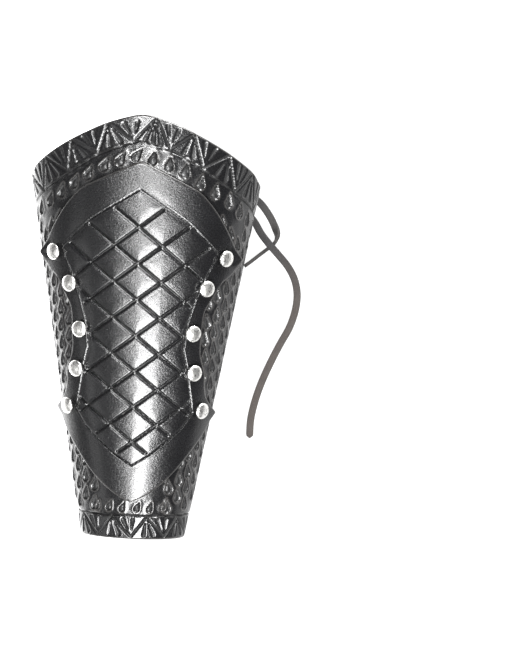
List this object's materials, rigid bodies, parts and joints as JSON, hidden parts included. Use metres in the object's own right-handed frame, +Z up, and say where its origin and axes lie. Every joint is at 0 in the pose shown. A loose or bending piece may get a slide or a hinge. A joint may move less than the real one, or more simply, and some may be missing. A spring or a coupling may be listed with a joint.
{
  "type": "archery arm guard",
  "caption": "Laced black leather archery arm guard with a tooled sleeve, a riveted overlay plate cut with a diamond lattice, and its back lace drawn criss-cross with two loose ends.",
  "frame": {"origin": "middle of the footprint without the loose lace ends, on the table the guard lies on", "axes": "+Y along the arm from wrist to elbow, +X across the arm, +Z up from the laced back to the crown of the plate"},
  "size_m": [0.1536, 0.231, 0.0803],
  "materials": {
    "tooled_leather": "black vegetable-tanned leather, tooled and stamped, semi-gloss dressed finish",
    "plate_leather": "black vegetable-tanned leather, carved lattice, polished semi-gloss finish",
    "nickel": "polished nickel-plated brass",
    "lace_leather": "dark grey-brown limp leather lace, matt"
  },
  "bodies": {
    "root": {"leather_sleeve": "tooled_leather", "overlay_plate": "plate_leather", "rivet_left_1": "nickel", "rivet_left_2": "nickel", "rivet_left_3": "nickel", "rivet_left_4": "nickel", "rivet_left_5": "nickel", "rivet_right_1": "nickel", "rivet_right_2": "nickel", "rivet_right_3": "nickel", "rivet_right_4": "nickel", "rivet_right_5": "nickel", "back_lacing": "lace_leather", "lace_end_long": "lace_leather", "lace_end_short": "lace_leather"}
  },
  "joints": []
}
